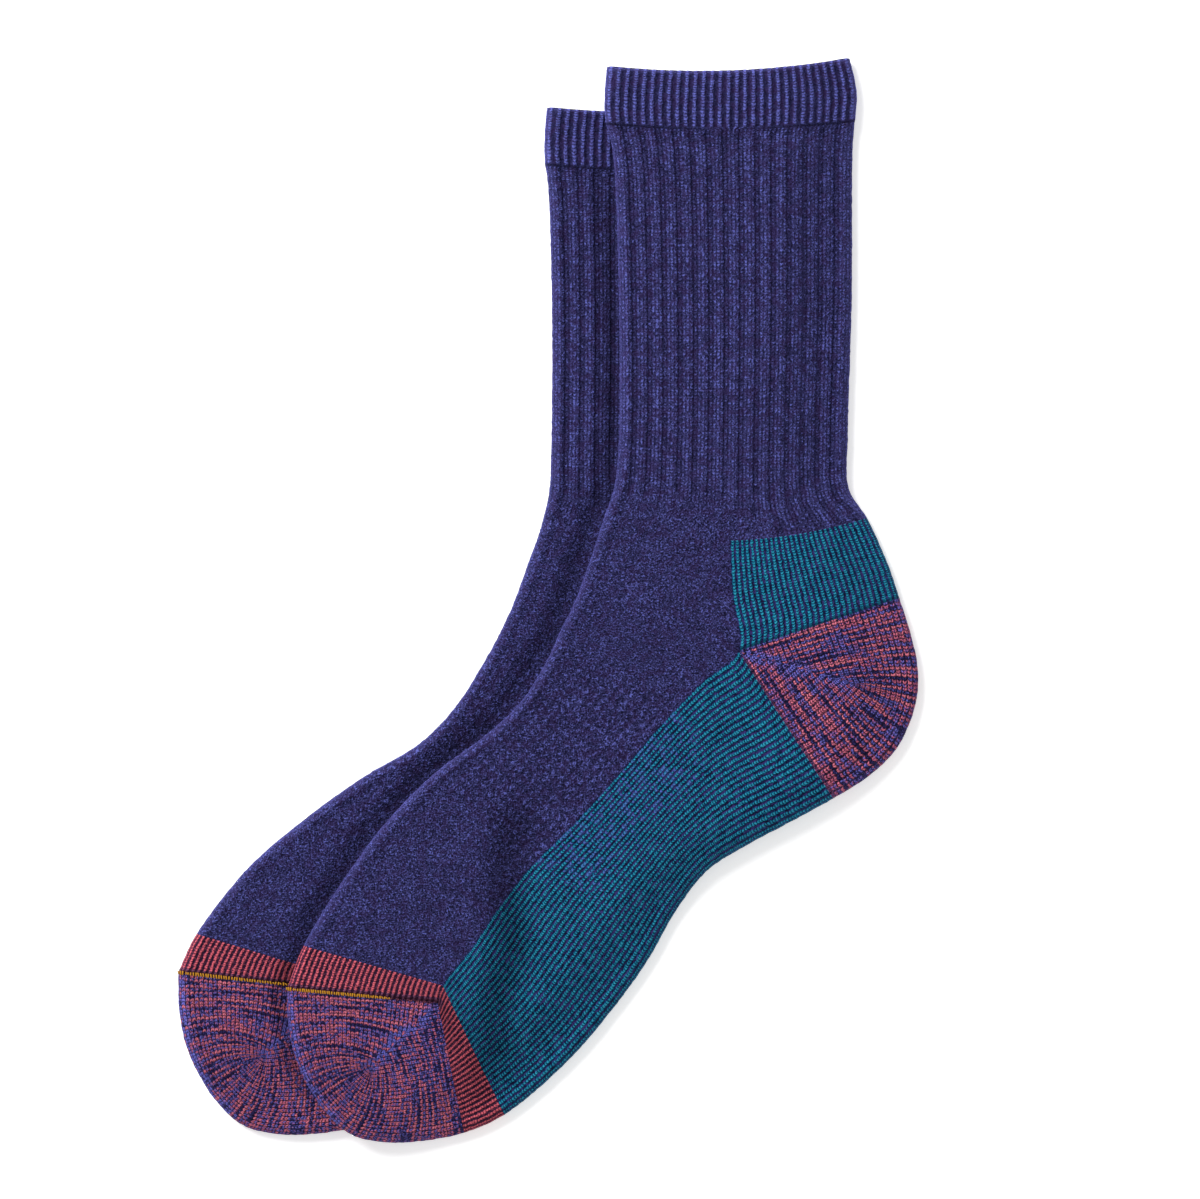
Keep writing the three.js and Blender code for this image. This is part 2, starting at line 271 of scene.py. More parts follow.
def inside_under(places):
    """Signed distance inside the under sock's outline."""
    flat = places.reshape(-1, 2)
    ring = np.vstack([under_outline, under_outline[:1]])
    nearest, _ = route_distance(ring, flat)
    inside = np.zeros(len(flat), bool)
    for a, b in zip(ring, ring[1:]):
        if a[1] == b[1]:
            continue
        crosses = (a[1] > flat[:, 1]) != (b[1] > flat[:, 1])
        inside ^= crosses & (flat[:, 0] < a[0] + (flat[:, 1] - a[1]) * (b[0] - a[0]) / (b[1] - a[1]))
    return np.where(inside, nearest, -nearest).reshape(places.shape[:-1])


rest_height, cuff_lift, cuff_lift_run = 7.1, 0.5, 12
drape_run, drape_grip, rim_sag, rim_sag_run = 18, 3, 0.3, 14
under_rim_y, under_cuff_edge_y = 162.4, 142.5


def drape(places):
    """Height of the upper sock's underside, on the under sock and then down to the table."""
    held = smoothstep(-drape_run, drape_grip, inside_under(places))
    y = places[..., 1]
    overhang = smoothstep(0, rim_sag_run, y - under_rim_y - drape_grip)
    on_cuff = smoothstep(under_cuff_edge_y - cuff_lift_run, under_cuff_edge_y, y)
    return (rest_height + cuff_lift * on_cuff) * held * (1 - rim_sag * overhang)


# Soft creases: route, depth, half width
upper_creases = [
    ([(-5, -66), (-12, -82), (-14, -98), (-11, -116), (-15, -130), (-18, -144), (-14, -160)], 2.2, 12),
    ([(-36, -134), (-29, -147), (-22, -160), (-18, -176)], 1.0, 8),
]
# The upper sock's weight sinks its edge a little into the under sock
under_creases = [
    ([(18, 150), (20, 120), (21.5, 60), (19, 38), (10, 14), (1, -12), (-16, -38), (-40, -58),
      (-60, -78), (-78, -106), (-89, -134), (-86, -152), (-76, -170)], 1.3, 6.5),
]
hidden_creases = [
    ([(30, 120), (52, 112), (78, 118)], 0.35, 6),
    ([(6, -8), (30, -22), (58, -26)], 0.45, 7),
    ([(-70, -82), (-52, -104), (-44, -130)], 0.4, 7),
]


def crease_depth(creases, places):
    depth = np.zeros(places.shape[:-1])
    for route, deep, half_width in creases:
        away, along = route_distance(route, places)
        ends = smoothstep(0, 0.7, along) * (1 - smoothstep(len(route) - 1.7, len(route) - 1, along))
        depth += deep * (1 - smoothstep(0, half_width, away)) * (0.25 + 0.75 * ends)
    return depth


def unevenness(places):
    x, y = places[..., 0], places[..., 1]
    waves = np.sin(x * 0.131 + y * 0.047 + 0.6) * np.sin(y * 0.083 - x * 0.031 + 2.1)
    waves = waves + 0.6 * np.sin(x * 0.23 - y * 0.11 + 4.0) * np.sin(y * 0.19 + x * 0.07)
    return 0.16 * waves


def seam_distance(places):
    """Distance from the linked toe seam, in the upper sock's lay."""
    return route_distance([row_table["front"][-1], row_table["middle"][-1]], places)[0]


def ribbed_share(at, shares, is_back):
    """1 on the ribbed leg and 0 on the plain foot. The ribs reach lower towards the back."""
    ends = row_number("ankle") + 0.1 + 0.9 * smoothstep(0, 0.5, shares) * is_back
    return 1 - smoothstep(-0.55, 0.45, at[:, None] - ends[None])


def knit_relief(at, shares, folds, is_back):
    """How far ribs, the welt's step and the fold's bead stand out from the cloth."""
    leg = ribbed_share(at, shares, is_back)
    at, shares = at[:, None], shares[None]
    cuff_edge = row_number("cuff edge")
    cuff = 1 - smoothstep(cuff_edge - 0.02, cuff_edge + 0.05, at)
    leg = (1 - cuff) * leg
    rib = 0.5 - 0.5 * np.cos(2 * np.pi * cuff_ribs * shares)
    groove = np.maximum(0, -np.cos(2 * np.pi * leg_ribs * shares)) ** 1.3
    bead = np.exp(-((folds - 2.9) / 1.1) ** 2)
    welt_edge = np.exp(-((at - cuff_edge + 0.12) / 0.12) ** 2)
    return cuff * (cuff_rib_rise * rib + 0.25 * welt_edge) - leg * leg_groove * groove + 0.6 * bead


# Where the loose blue yarn gathers: on both gores and at the toe's fold
speck_lines = [
    [(63.5, -17.5), (100.8, -28.2)],
    [(-38.0, -137.0), (-44.8, -142.8), (-50.2, -145.5), (-55.2, -152.8), (-58.5, -155.8)],
    [(-86.5, -133.8), (-84.2, -149.8), (-80.2, -161.5), (-76.5, -166.8), (-68.5, -176.5)],
]


# Yarns, in the order of the sock's materials
navy, teal, marled, coral, fine_marled = range(5)


def knit_face(strip, side, is_under, lining):
    """One half of one face: its points, stitch places, knit weights, marks (blue specks, the seam and
    painted shade) and each row's yarn.
    """
    rows = knit_rows(strip, row_pitch if not lining else 5)
    shares = upper_shares if side > 0 and not lining else lower_shares
    at, places, folds = stacked(rows, shares, wall_inset if lining else 0, is_under)
    _, flat_places, _ = stacked(rows, shares, 0, False)
    thick = along_rows(row_table["thick"], at)
    base = np.zeros(places.shape[:-1]) if is_under else drape(places)
    scallop = np.sin(np.pi * cuff_ribs * shares) ** 2 - 0.5
    places[..., 1] += 0.3 * scallop * (1 - smoothstep(0, 0.2, at))[:, None] * (not lining)
    round_rim = rounding(at[:, None] * rim_row_length, rim_run)
    if lining:
        half = tube_gap / 2 * rounding(folds, tube_gap)
        half = half + (thick / 4 - half / 2) * (1 - round_rim) * (folds > 0)
        z = base + thick / 2 + side * half
    else:
        round_fold = rounding(folds, edge_run)
        half = thick / 2 * round_fold * (round_rim * 0.5 + 0.5)
        relief = np.zeros(folds.shape)
        if side > 0:
            relief = knit_relief(at, shares, folds, strip == "back") * smoothstep(0, 0.25, at)[:, None]
            seam = seam_distance(flat_places)
            gore = np.minimum(*(route_distance(line, flat_places)[0] for line in speck_lines[:2]))
            relief = relief - seam_depth * (1 - smoothstep(0, seam_half_width, seam))
            relief = relief + bank_rise * np.exp(-((seam - bank_away) / bank_spread) ** 2)
            relief = relief - gore_depth * (1 - smoothstep(0, gore_half_width, gore))
            creases = under_creases if is_under else upper_creases
            relief = (relief - crease_depth(creases, places) + unevenness(places)) * round_fold
        elif is_under:
            relief = -crease_depth(hidden_creases, places) * round_fold
        z = base + thick / 2 + side * (half + relief)
    across = 1 if strip == "back" else -1
    ankle = row_number("ankle")
    wales = leg_wales + (foot_wales - leg_wales) * smoothstep(ankle, ankle + 1, at)
    cuff_edge = row_number("cuff edge")
    wales = np.where(at < cuff_edge, cuff_ribs, wales)
    course = np.array([row[4] for row in rows])
    # Near the fold the wales go on round it
    round_fold_wales = wales[:, None] / 25 * (1 - np.clip(folds / edge_run, 0, 1)) ** 9
    stitches = np.stack([across * (shares[None] * wales[:, None] + round_fold_wales),
                         np.repeat(course[:, None], len(shares), 1)], -1)
    in_cuff = 1 - smoothstep(cuff_edge - 0.01, cuff_edge + 0.01, at)
    in_rib = (1 - in_cuff)[:, None] * ribbed_share(at, shares, strip == "back")
    in_leg = (1 - in_cuff) * (1 - smoothstep(ankle - 1, ankle + 1, at))
    arch = row_number("top of arch")
    in_arch = smoothstep(arch - 1, arch + 0.2, at) * (1 - smoothstep(arch + 2.6, arch + 3.4, at))
    near_middle = 1 - smoothstep(0.3, 0.75, shares) if strip == "back" else np.ones(len(shares))
    in_arch = in_arch[:, None] * near_middle[None]
    weights = np.stack([in_cuff[:, None] * np.ones(in_rib.shape), in_rib, in_arch], -1)
    specks = np.zeros(folds.shape)
    for line in speck_lines:
        specks = np.maximum(specks, 1 - smoothstep(0.6, 3.2, route_distance(line, flat_places)[0]))
    seams = 1 - smoothstep(0.9, 2.5, seam_distance(flat_places))
    # Painted shade: the colour is darkened in the upper sock's creases, on the under sock beside the upper
    # sock's edge, and in the toe seam's groove.
    shades = 1 - 0.5 * crease_depth(upper_creases, places) / 2.2 * (not is_under and side > 0)
    shades = shades - 0.4 * crease_depth(under_creases, places) / 1.3 * (is_under and side > 0)
    shades = shades - 0.5 * (1 - smoothstep(0.2, 1.4, seam_distance(flat_places)))
    marks = np.stack([specks, seams, shades], -1)
    stitches[..., 0] += 0.5 * in_leg[:, None]
    zones = []
    for row in rows[:-1]:
        if row[3]:
            zones.append(marled if row[3] == "heel" else fine_marled)
        elif row[0] >= row_number("top of band"):
            zones.append(coral)
        elif strip == "back" and row[0] >= row_number("top of splice"):
            zones.append(teal)
        else:
            zones.append(navy)
    points = np.concatenate([places, z[..., None]], -1)
    return points, stitches, weights, marks, np.array(zones)


def sock_mesh(name, is_under):
    points, weights, marks, faces, stitches, zones = [], [], [], [], [], []
    count = 0
    rims = {}
    for lining in (False, True):
        for side in (1, -1):
            for strip in ("front", "back"):
                place, stitch, weight, mark, zone = knit_face(strip, side, is_under, lining)
                index = np.arange(place.shape[0] * place.shape[1]).reshape(place.shape[:2]) + count
                count += index.size
                points.append(place.reshape(-1, 3))
                weights.append(weight.reshape(-1, 3))
                marks.append(mark.reshape(-1, 3))
                facing = (side > 0) != lining
                flip = facing == (strip == "back")

                def corners(grid):
                    quad = np.stack([grid[:-1, :-1], grid[:-1, 1:], grid[1:, 1:], grid[1:, :-1]], 2)
                    quad = quad.reshape((-1, 4) + grid.shape[2:])
                    return quad[:, ::-1] if flip else quad

                faces.append(corners(index))
                stitches.append(corners(stitch))
                zones.append(np.repeat(zone, index.shape[1] - 1))
                rims[lining, side, strip] = (index[0], stitch[0])
    for side in (1, -1):
        for strip in ("front", "back"):
            (outer, stitch), (inner, _) = rims[False, side, strip], rims[True, side, strip]
            i = j = 0
            rim_faces, rim_stitches = [], []
            while i < len(outer) - 1 or j < len(inner) - 1:
                outer_next = upper_shares[i + 1] if side > 0 and i < len(outer) - 1 else 2
                if side < 0 and i < len(outer) - 1:
                    outer_next = lower_shares[i + 1]
                inner_next = lower_shares[j + 1] if j < len(inner) - 1 else 2
                a, b = outer[i], inner[j]
                if outer_next <= inner_next:
                    i += 1
                    face = [a, b, b, outer[i]]
                else:
                    j += 1
                    face = [a, b, inner[j], inner[j]]
                rim_faces.append(face)
                rim_stitches.append([stitch[i]] * 4)
            rim_faces, rim_stitches = np.array(rim_faces), np.array(rim_stitches)
            if (side > 0) == (strip == "back"):
                rim_faces = rim_faces[:, ::-1]
            faces.append(rim_faces)
            stitches.append(rim_stitches)
            zones.append(np.full(len(rim_faces), navy))
    points = np.vstack(points)
    faces, stitches, zones = np.vstack(faces), np.vstack(stitches), np.concatenate(zones)
    _, first, same = np.unique(np.round(points, 3), axis=0, return_index=True, return_inverse=True)
    faces = same.reshape(-1)[faces]
    kept_faces, kept_stitches, kept_zones = [], [], []
    for face, stitch, zone in zip(faces.tolist(), stitches, zones.tolist()):
        keep = [k for k in range(4) if face[k] != face[k - 1]]
        if len(keep) > 2 and len({face[k] for k in keep}) == len(keep):
            kept_faces.append([face[k] for k in keep])
            kept_stitches.append(stitch[keep])
            kept_zones.append(zone)
    mesh = bpy.data.meshes.new(name)
    mesh.from_pydata(points[first] / 1000, [], kept_faces)
    mesh.uv_layers.new(name="stitches").data.foreach_set("uv", np.vstack(kept_stitches).ravel())
    mesh.polygons.foreach_set("material_index", kept_zones)
    mesh.polygons.foreach_set("use_smooth", [True] * len(kept_faces))
    layer = mesh.attributes.new("knit", "FLOAT_VECTOR", "POINT")
    layer.data.foreach_set("vector", np.vstack(weights)[first].ravel())
    # The third mark is painted shade, which darkens the colour in creases, beside the upper sock's edge
    # and in the seam's groove.
    for number, mark_name in enumerate(("specks", "seam", "painted_shade")):
        layer = mesh.attributes.new(mark_name, "FLOAT", "POINT")
        layer.data.foreach_set("value", np.vstack(marks)[first, number])
    mesh.update()
    return mesh


def srgb(red, green, blue):
    def channel(value):
        value = value / 255
        return value / 12.92 if value <= 0.04045 else ((value + 0.055) / 1.055) ** 2.4

    return channel(red), channel(green), channel(blue), 1


def node(tree, kind, settings, inputs):
    made = tree.nodes.new("ShaderNode" + kind)
    for name, value in settings.items():
        setattr(made, name, value)
    for name, value in inputs.items():
        if isinstance(value, bpy.types.NodeSocket):
            tree.links.new(value, made.inputs[name])
        else:
            made.inputs[name].default_value = value
    return made


def maths(tree, operation, *values):
    return node(tree, "Math", {"operation": operation}, dict(enumerate(values))).outputs[0]


def ramp(tree, value, stops):
    made = node(tree, "ValToRGB", {}, {0: value})
    band = made.color_ramp
    while len(band.elements) < len(stops):
        band.elements.new(1)
    for element, (at, colour) in zip(band.elements, stops):
        element.position = at
        element.color = srgb(*colour)
    return made.outputs[0]


def mix_colour(tree, share, first, second):
    made = node(tree, "Mix", {"data_type": "RGBA"}, {0: share, 6: first, 7: second})
    return made.outputs[2]


def spread(tree, value, low, high):
    """0 below one value and 1 above the other, with soft ends."""
    made = node(tree, "MapRange", {"interpolation_type": "SMOOTHSTEP"}, {0: value, 1: low, 2: high})
    return made.outputs[0]


def stitch_group():
    """The face of one stitch from its place in wales and courses: a ridge of nested V loops."""
    group = bpy.data.node_groups.new("stitches", "ShaderNodeTree")
    group.interface.new_socket("Place", in_out="INPUT", socket_type="NodeSocketVector")
    for name in ("Side", "Bead", "Leg", "Random", "Random 2", "Run", "Band", "Course"):
        group.interface.new_socket(name, in_out="OUTPUT", socket_type="NodeSocketFloat")
    group_in = group.nodes.new("NodeGroupInput")
    group_out = group.nodes.new("NodeGroupOutput")
    split = node(group, "SeparateXYZ", {}, {0: group_in.outputs[0]})
    u, v = split.outputs[0], split.outputs[1]
    side = maths(group, "MULTIPLY", maths(group, "ABSOLUTE", maths(
        group, "SUBTRACT", maths(group, "FRACT", u), 0.5)), 2)
    arms = maths(group, "ADD", v, maths(group, "MULTIPLY", side, 0.5))
    to_edge = maths(group, "SUBTRACT", maths(group, "MULTIPLY", maths(group, "FRACT", arms), 2), 1)
    bead = maths(group, "SUBTRACT", 1, maths(group, "MULTIPLY", to_edge, to_edge))
    leg = maths(group, "SUBTRACT", 1, maths(group, "ABSOLUTE", maths(
        group, "SUBTRACT", maths(group, "MULTIPLY", side, 2.2), 1)))
    wale, course = maths(group, "FLOOR", u), maths(group, "FLOOR", arms)
    cell = node(group, "CombineXYZ", {}, {0: wale, 1: course}).outputs[0]
    random = node(group, "TexWhiteNoise", {"noise_dimensions": "3D"}, {0: cell})
    second = node(group, "SeparateColor", {}, {0: random.outputs["Color"]})
    run_cell = node(group, "CombineXYZ", {}, {0: maths(group, "MULTIPLY", wale, 0.11),
                                              1: maths(group, "MULTIPLY", course, 2.37)})
    run = node(group, "TexNoise", {"noise_dimensions": "3D"},
               {"Vector": run_cell.outputs[0], "Scale": 1.0, "Detail": 1.0})
    band_cell = node(group, "CombineXYZ", {}, {0: maths(group, "MULTIPLY", wale, 0.05),
                                               1: maths(group, "MULTIPLY", course, 0.31)})
    band = node(group, "TexNoise", {"noise_dimensions": "3D"},
                {"Vector": band_cell.outputs[0], "Scale": 1.0, "Detail": 1.0})
    values = [side, bead, leg, random.outputs["Value"], second.outputs[1], run.outputs["Fac"],
              band.outputs["Fac"], course]
    for number, value in enumerate(values):
        group.links.new(value, group_out.inputs[number])
    return group


def fleck_group():
    """Short slanted glints both ways, as pile fibres catch the light between the stitches."""
    group = bpy.data.node_groups.new("slanted flecks", "ShaderNodeTree")
    group.interface.new_socket("Place", in_out="INPUT", socket_type="NodeSocketVector")
    group.interface.new_socket("Flecks", in_out="OUTPUT", socket_type="NodeSocketFloat")
    group_in = group.nodes.new("NodeGroupInput")
    group_out = group.nodes.new("NodeGroupOutput")
    found = []
    for lean in (0.85, -0.85):
        turned = node(group, "Mapping", {}, {"Vector": group_in.outputs[0], "Rotation": (0, 0, lean),
                                             "Scale": (1.9, 1.35, 1), "Location": (lean * 40, 0, 0)})
        long = node(group, "Mapping", {}, {"Vector": turned.outputs[0], "Scale": (0.6, 1.35, 1)})
        noise = node(group, "TexNoise", {}, {"Vector": long.outputs[0], "Scale": 1.0, "Detail": 1.5,
                                             "Roughness": 0.6})
        found.append(noise.outputs["Fac"])
    group.links.new(maths(group, "MAXIMUM", *found), group_out.inputs[0])
    return group


stitch_shape = stitch_group()
slanted_flecks = fleck_group()


def fuzz(tree, scale, detail):
    position = node(tree, "TexCoord", {}, {}).outputs["Object"]
    noise = node(tree, "TexNoise", {}, {"Vector": position, "Scale": scale, "Detail": detail,
                                        "Roughness": 0.6})
    return noise.outputs["Fac"]


stitch_height = 0.0006


def knit_material(name, colour_of, painted_sheen_colour, painted_sheen_share, cell_scale=(1, 1, 1)):
    material = bpy.data.materials.new(name)
    material.use_nodes = True
    tree = material.node_tree
    tree.nodes.clear()
    even_place = node(tree, "UVMap", {"uv_map": "stitches"}, {}).outputs[0]
    position = node(tree, "TexCoord", {}, {}).outputs["Object"]
    drift = node(tree, "TexNoise", {}, {"Vector": position, "Scale": 520.0, "Detail": 1.5})
    drift = node(tree, "VectorMath", {"operation": "SUBTRACT"},
                 {0: drift.outputs["Color"], 1: (0.5, 0.5, 0.5)})
    place = node(tree, "VectorMath", {"operation": "MULTIPLY_ADD"},
                 {0: drift.outputs[0], 1: (0.34, 0.8, 0), 2: even_place}).outputs[0]
    cells = node(tree, "VectorMath", {"operation": "MULTIPLY"}, {0: place, 1: cell_scale}).outputs[0]
    stitch = node(tree, "Group", {"node_tree": stitch_shape}, {0: cells})
    colour, height = colour_of(tree, place, stitch.outputs)
    # Painted sheen: a pale colour is added in patches where the surface turns away from the view, mostly
    # on the rounded folds. It stands in for the pile's sheen and the lit fold edge.
    facing = node(tree, "LayerWeight", {}, {"Blend": 0.5}).outputs["Facing"]
    patchy = maths(tree, "MULTIPLY_ADD", fuzz(tree, 1100, 1.0), 2.4, -0.3)
    painted_sheen = maths(tree, "MULTIPLY", spread(tree, facing, 0.1, 0.7), maths(
        tree, "MULTIPLY", patchy, painted_sheen_share))
    colour = node(tree, "Mix", {"data_type": "RGBA", "blend_type": "ADD"},
                  {0: painted_sheen, 6: colour, 7: srgb(*painted_sheen_colour)}).outputs[2]
    # The third mark is painted shade: it multiplies the colour down in creases, beside the upper sock's
    # edge and in the seam's groove.
    painted_shade = node(tree, "Attribute", {"attribute_name": "painted_shade"}, {}).outputs["Fac"]
    shade = node(tree, "CombineColor", {}, {0: painted_shade, 1: painted_shade, 2: painted_shade})
    colour = node(tree, "Mix", {"data_type": "RGBA", "blend_type": "MULTIPLY"},
                  {0: 1.0, 6: colour, 7: shade.outputs[0]}).outputs[2]
    bump = node(tree, "Bump", {}, {"Strength": 1.0, "Distance": stitch_height, "Height": height})
    shader = node(tree, "BsdfPrincipled", {}, {
        "Base Color": colour, "Roughness": 1.0, "Normal": bump.outputs[0],
        "Specular IOR Level": 0.04})
    node(tree, "OutputMaterial", {}, {0: shader.outputs[0]})
    return material


def swings(tree, *parts):
    """0.5 plus each part's swing about its own middle."""
    total = 0.5 - sum(middle * gain for _, middle, gain in parts)
    for value, _, gain in parts:
        total = maths(tree, "MULTIPLY_ADD", value, gain, total)
    return total


def navy_knit(tree, place, stitch):
    weights = node(tree, "Attribute", {"attribute_name": "knit"}, {}).outputs["Vector"]
    split = node(tree, "SeparateXYZ", {}, {0: weights})
    in_cuff, in_rib, in_arch = split.outputs[0], split.outputs[1], split.outputs[2]
    u = node(tree, "SeparateXYZ", {}, {0: place}).outputs[0]
    crest = maths(tree, "SUBTRACT", 1, spread(tree, stitch["Side"], 0.3, 1.0))
    # Ribs of three wales and a sunk one
    rib_side = maths(tree, "MULTIPLY", maths(tree, "ABSOLUTE", maths(tree, "SUBTRACT", maths(
        tree, "FRACT", maths(tree, "ADD", maths(tree, "MULTIPLY", u, 0.25), 0.375)), 0.5)), 2)
    rib = maths(tree, "SUBTRACT", 1, spread(tree, rib_side, 0.25, 0.85))
    flecks = node(tree, "Group", {"node_tree": slanted_flecks}, {0: place}).outputs[0]
    fine = fuzz(tree, 1700, 1.0)
    broad = fuzz(tree, 160, 2.0)
    glint = maths(tree, "MULTIPLY", maths(tree, "MULTIPLY", crest, stitch["Bead"]), stitch["Random"])
    plain = swings(tree, (flecks, 0.54, 1.9), (fine, 0.5, 1.6), (broad, 0.5, 0.35), (glint, 0.18, 0.2))
    ribbed = swings(tree, (flecks, 0.57, 0.8), (fine, 0.5, 1.3), (broad, 0.5, 0.35),
                    (glint, 0.2, 0.4), (rib, 0.55, 0.17), (crest, 0.5, 0.12))
    chain = maths(tree, "MULTIPLY", maths(tree, "SUBTRACT", 1, spread(tree, stitch["Side"], 0.2, 0.75)),
                  maths(tree, "MULTIPLY_ADD", stitch["Bead"], 0.55, 0.45))
    cuff = swings(tree, (fine, 0.5, 0.9), (flecks, 0.57, 0.35), (chain, 0.36, 0.6),
                  (stitch["Random"], 0.4, 0.1))
    # Tuck stitches over the arch, two wales and two courses apart
    v = node(tree, "SeparateXYZ", {}, {0: place}).outputs[1]
    tuck_u = maths(tree, "PINGPONG", u, 1.0)
    tuck_v = maths(tree, "PINGPONG", maths(tree, "MULTIPLY_ADD", v, 0.62, 0.3), 1.0)
    tuck = maths(tree, "MULTIPLY", spread(tree, tuck_u, 0.45, 0.9), spread(tree, tuck_v, 0.3, 0.8))
    arch = maths(tree, "MULTIPLY", in_arch, maths(tree, "SUBTRACT", tuck, 0.2))
    plain = maths(tree, "MULTIPLY_ADD", arch, 0.27, plain)
    tone = node(tree, "Mix", {}, {0: in_rib, 2: plain, 3: ribbed}).outputs[0]
    tone = node(tree, "Mix", {}, {0: in_cuff, 2: tone, 3: cuff}).outputs[0]
    colour = ramp(tree, tone, [(0.10, (22, 20, 46)), (0.30, (33, 32, 66)), (0.50, (47, 46, 87)),
                               (0.68, (60, 60, 110)), (0.92, (94, 99, 178))])
    tint = spread(tree, fuzz(tree, 300, 1.0), 0.45, 0.62)
    colour = mix_colour(tree, maths(tree, "MULTIPLY", tint, 0.3), colour, srgb(50, 30, 70))
    height = maths(tree, "ADD", tone, maths(tree, "MULTIPLY", rib, maths(tree, "MULTIPLY", in_rib, 0.3)))
    return colour, height


def teal_knit(tree, place, stitch):
    fine = fuzz(tree, 1700, 1.0)
    crest = maths(tree, "SUBTRACT", 1, spread(tree, stitch["Side"], 0.25, 0.85))
    lit = maths(tree, "MULTIPLY", crest, maths(tree, "MULTIPLY_ADD", stitch["Bead"], 0.85, 0.22))
    tone = swings(tree, (lit, 0.42, 0.78), (stitch["Random"], 0.5, 0.22), (fine, 0.5, 1.1))
    colour = ramp(tree, tone, [(0.05, (20, 16, 46)), (0.28, (22, 36, 78)), (0.5, (12, 72, 106)),
                               (0.72, (14, 106, 136)), (1.0, (46, 146, 174))])
    violet = maths(tree, "MULTIPLY", spread(tree, stitch["Random 2"], 0.55, 0.75),
                   maths(tree, "SUBTRACT", 1, crest))
    colour = mix_colour(tree, maths(tree, "MULTIPLY", violet, 0.6), colour, srgb(64, 52, 118))
    weights = node(tree, "Attribute", {"attribute_name": "knit"}, {}).outputs["Vector"]
    in_arch = node(tree, "SeparateXYZ", {}, {0: weights}).outputs[2]
    tucks = maths(tree, "GREATER_THAN", maths(tree, "MULTIPLY", stitch["Random"], in_arch), 0.6)
    tucks = maths(tree, "MULTIPLY", maths(tree, "MULTIPLY", tucks, lit), spread(tree, fine, 0.35, 0.6))
    colour = mix_colour(tree, tucks, colour, srgb(80, 90, 178))
    return colour, tone


def marl_knit(tree, place, stitch, lift=0, twist=0.8):
    specks = node(tree, "Attribute", {"attribute_name": "specks"}, {}).outputs["Fac"]
    fine = fuzz(tree, 1700, 1.0)
    even = maths(tree, "MULTIPLY", maths(tree, "FRACT", maths(tree, "MULTIPLY", stitch["Course"], 0.5)), 2)
    ply = fuzz(tree, 1000, 1.0)
    pick = swings(tree, (even, 0.42, 0.26), (stitch["Run"], 0.5, 1.0), (stitch["Random"], 0.5, 0.24),
                  (ply, 0.5, twist), (stitch["Band"], 0.5, 0.8))
    yarn = ramp(tree, pick, [(0.27, (46, 42, 92)), (0.39, (110, 110, 204)), (0.50, (130, 104, 186)),
                             (0.59, (196, 98, 130)), (0.85, (240, 130, 152))])
    blue = maths(tree, "MULTIPLY", specks, maths(tree, "GREATER_THAN", stitch["Random 2"], 0.34))
    yarn = mix_colour(tree, blue, yarn, srgb(118, 118, 220))
    valley = maths(tree, "SUBTRACT", 1, spread(tree, stitch["Side"], 0.4, 0.95))
    leg = spread(tree, stitch["Leg"], 0.0, 0.6)
    bead = spread(tree, stitch["Bead"], 0.1, 0.9)
    lit = maths(tree, "MULTIPLY", maths(tree, "MULTIPLY", valley, bead),
                maths(tree, "MULTIPLY_ADD", leg, 0.6, 0.4))
    tone = swings(tree, (lit, 0.35, 1.25), (fine, 0.5, 1.8))
    shade = node(tree, "Clamp", {}, {0: maths(tree, "ADD", tone, lift)}).outputs[0]
    colour = mix_colour(tree, shade, srgb(28, 22, 46), yarn)
    return colour, tone


def coral_knit(tree, place, stitch):
    seam = node(tree, "Attribute", {"attribute_name": "seam"}, {}).outputs["Fac"]
    fine = fuzz(tree, 1700, 1.0)
    crest = maths(tree, "SUBTRACT", 1, spread(tree, stitch["Side"], 0.2, 0.72))
    lit = maths(tree, "MULTIPLY", crest, maths(tree, "MULTIPLY_ADD", stitch["Bead"], 0.66, 0.36))
    tone = swings(tree, (lit, 0.36, 1.0), (fine, 0.5, 1.5))
    colour = ramp(tree, tone, [(0.05, (34, 20, 42)), (0.3, (72, 38, 60)), (0.5, (130, 60, 80)),
                               (0.75, (184, 80, 96)), (1.0, (224, 104, 118))])
    mauve = ramp(tree, tone, [(0.1, (40, 22, 44)), (0.5, (84, 46, 74)), (0.9, (140, 84, 116))])
    colour = mix_colour(tree, spread(tree, seam, 0.35, 0.6), colour, mauve)
    return colour, tone


def fine_marl_knit(tree, place, stitch):
    return marl_knit(tree, place, stitch, 0.06, 1.3)


knit_materials = [
    knit_material("navy pile knit", navy_knit, (104, 104, 186), 0.3),
    knit_material("teal plated knit", teal_knit, (60, 110, 160), 0.12),
    knit_material("marled knit", marl_knit, (120, 100, 170), 0.16),
    knit_material("coral plated knit", coral_knit, (190, 100, 130), 0.16),
    knit_material("fine marled knit", fine_marl_knit, (120, 100, 170), 0.16, (1.2, 1.1, 1)),
]


def lay_sock(name, is_under):
    sock = bpy.data.objects.new(name, sock_mesh(name, is_under))
    bpy.context.scene.collection.objects.link(sock)
    for material in knit_materials:
        sock.data.materials.append(material)
    return sock


strand_half_height, strand_half_width, strand_half_thick = 0.7, 0.27, 0.2
seam_half_thick, strand_sink = 3.25, 0.62


